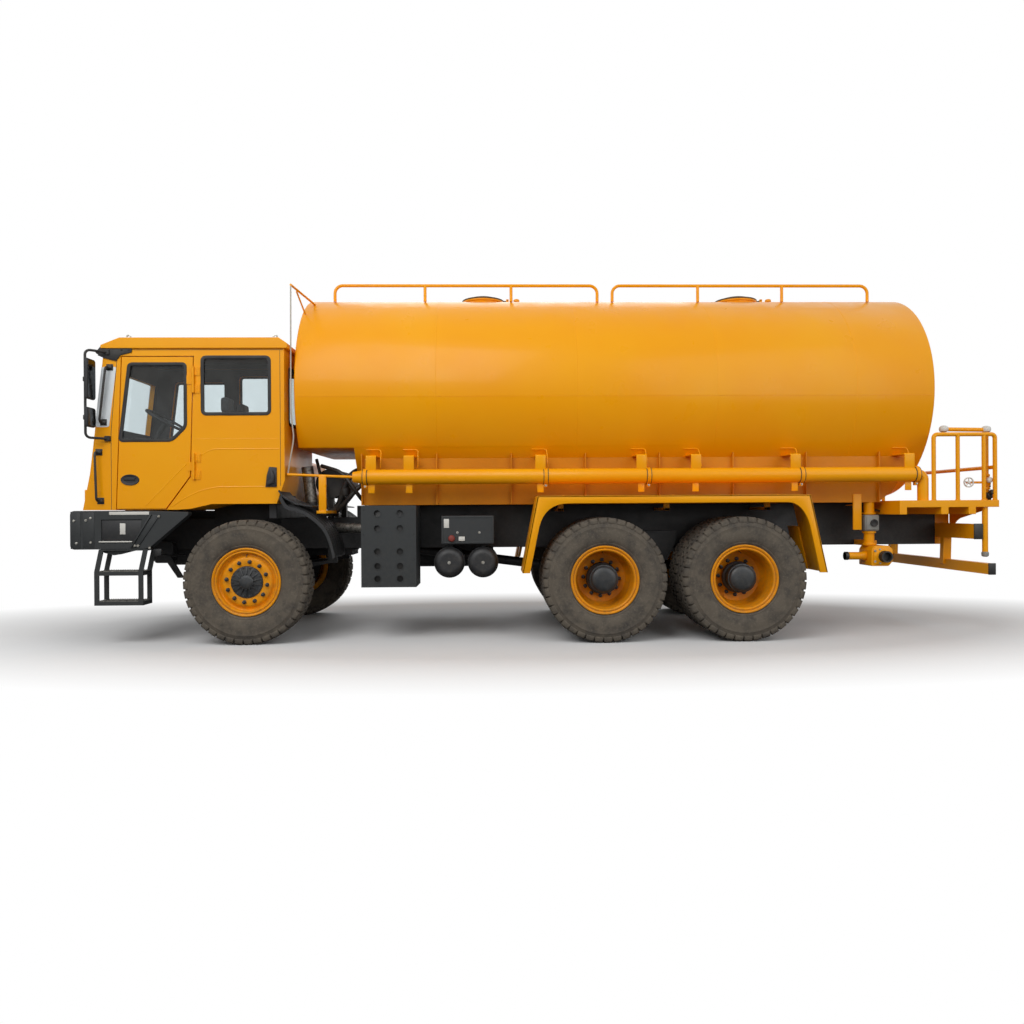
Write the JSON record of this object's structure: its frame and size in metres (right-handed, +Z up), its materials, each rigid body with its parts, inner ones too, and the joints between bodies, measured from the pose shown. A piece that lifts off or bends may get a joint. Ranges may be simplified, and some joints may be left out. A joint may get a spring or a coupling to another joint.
{
  "type": "tank truck",
  "caption": "Rigid tank truck with a narrow offset cab, a long round tank with top rails and manholes, steered front wheels and twin rear wheels.",
  "frame": {"origin": "on the ground under the middle of the truck, on its centre line", "axes": "+X to the rear, +Y to the truck's right-hand side, +Z up"},
  "size_m": [9.74, 2.91, 3.9725],
  "materials": {
    "paint": "semi-gloss",
    "bumper_grey": "satin",
    "chassis_black": "satin",
    "wheel_paint": "satin",
    "tyre_rubber": "matte",
    "hose_rubber": "matte",
    "window_glass": "gloss",
    "lamp_lens": "gloss",
    "interior_plastic": "matte",
    "seat_cloth": "matte",
    "lid_steel": "satin"
  },
  "bodies": {
    "truck": {"cab_shell": "paint", "cab_roof": "paint", "hood": "paint", "tank": "paint", "tank_saddle": "paint", "side_pipes": "paint", "top_rails": "paint", "sight_line": "paint", "rear_fenders": "paint", "rear_platform": "paint", "rear_railing": "paint", "rear_pipework": "paint", "water_pump": "paint", "underrun_bar": "paint", "front_bumper": "bumper_grey", "entry_steps": "bumper_grey", "front_mudguards": "bumper_grey", "exhaust_box": "bumper_grey", "battery_box": "bumper_grey", "grille": "bumper_grey", "visor": "bumper_grey", "mirrors": "bumper_grey", "grab_rails": "bumper_grey", "frame": "chassis_black", "cab_mounts": "chassis_black", "front_axle": "chassis_black", "rear_axles": "chassis_black", "suspension": "chassis_black", "driveline": "chassis_black", "rear_shaft": "chassis_black", "engine": "chassis_black", "steering_gear": "chassis_black", "fuel_tank": "chassis_black", "air_tanks": "chassis_black", "air_intake": "hose_rubber", "suction_port": "hose_rubber", "cab_glass": "window_glass", "lamps": "lamp_lens", "cab_interior": "interior_plastic", "seats": "seat_cloth"},
    "knuckle_left": {"knuckle_left": "chassis_black"},
    "knuckle_right": {"knuckle_right": "chassis_black"},
    "tie_rod": {"tie_rod": "chassis_black"},
    "front_wheel_left": {"wheel_front_left": "wheel_paint", "tyre_front_left": "tyre_rubber"},
    "front_wheel_right": {"wheel_front_right": "wheel_paint", "tyre_front_right": "tyre_rubber"},
    "middle_wheels_left": {"wheels_middle_left": "wheel_paint", "tyres_middle_left": "tyre_rubber"},
    "middle_wheels_right": {"wheels_middle_right": "wheel_paint", "tyres_middle_right": "tyre_rubber"},
    "rear_wheels_left": {"wheels_rear_left": "wheel_paint", "tyres_rear_left": "tyre_rubber"},
    "rear_wheels_right": {"wheels_rear_right": "wheel_paint", "tyres_rear_right": "tyre_rubber"},
    "steering_wheel": {"steering_wheel": "interior_plastic"},
    "door_left": {"door_left": "paint", "door_left_glass": "window_glass"},
    "lid_front": {"manhole_lid_front": "lid_steel"},
    "lid_rear": {"manhole_lid_rear": "lid_steel"}
  },
  "joints": [
    {"name": "steer_left", "type": "hinge", "parent": "truck", "child": "knuckle_left", "pos_m": [-3.055, -0.905, 0.646], "axis": [0, 0, 1], "range_deg": [-35, 35]},
    {"name": "steer_right", "type": "hinge", "parent": "truck", "child": "knuckle_right", "pos_m": [-3.055, 0.905, 0.646], "axis": [0, 0, 1], "range_deg": [-35, 35]},
    {"name": "tie_rod_turn", "type": "hinge", "parent": "knuckle_left", "child": "tie_rod", "pos_m": [-2.85, -0.905, 0.489], "axis": [0, 0, 1], "range_deg": [-35, 35]},
    {"name": "steering_turn", "type": "hinge", "parent": "truck", "child": "steering_wheel", "pos_m": [-4.055, -0.8, 2.369], "axis": [0.5026, 0, 0.8645], "range_deg": [-560, 560]},
    {"name": "spin_front_left", "type": "hinge", "parent": "knuckle_left", "child": "front_wheel_left", "pos_m": [-3.055, -1.17, 0.646], "axis": [0, 1, 0], "continuous": true},
    {"name": "spin_front_right", "type": "hinge", "parent": "knuckle_right", "child": "front_wheel_right", "pos_m": [-3.055, 1.17, 0.646], "axis": [0, 1, 0], "continuous": true},
    {"name": "spin_middle_left", "type": "hinge", "parent": "truck", "child": "middle_wheels_left", "pos_m": [0.645, -1.062, 0.646], "axis": [0, 1, 0], "continuous": true},
    {"name": "spin_middle_right", "type": "hinge", "parent": "truck", "child": "middle_wheels_right", "pos_m": [0.645, 1.062, 0.646], "axis": [0, 1, 0], "continuous": true},
    {"name": "spin_rear_left", "type": "hinge", "parent": "truck", "child": "rear_wheels_left", "pos_m": [2.095, -1.062, 0.646], "axis": [0, 1, 0], "continuous": true},
    {"name": "spin_rear_right", "type": "hinge", "parent": "truck", "child": "rear_wheels_right", "pos_m": [2.095, 1.062, 0.646], "axis": [0, 1, 0], "continuous": true},
    {"name": "door_left_swing", "type": "hinge", "parent": "truck", "child": "door_left", "pos_m": [-3.612, -1.225, 2.2], "axis": [0, 0, 1], "range_deg": [0, 75]},
    {"name": "lid_front_swing", "type": "hinge", "parent": "truck", "child": "lid_front", "pos_m": [-0.319, 0, 3.8713], "axis": [0, 1, 0], "range_deg": [0, 100]},
    {"name": "lid_rear_swing", "type": "hinge", "parent": "truck", "child": "lid_rear", "pos_m": [2.727, 0, 3.8713], "axis": [0, 1, 0], "range_deg": [0, 100]}
  ],
  "couplings": [
    {"joint": "steer_right", "follows": "steer_left", "ratio": 1},
    {"joint": "tie_rod_turn", "follows": "steer_left", "ratio": -1},
    {"joint": "steering_turn", "follows": "steer_left", "ratio": 16}
  ]
}
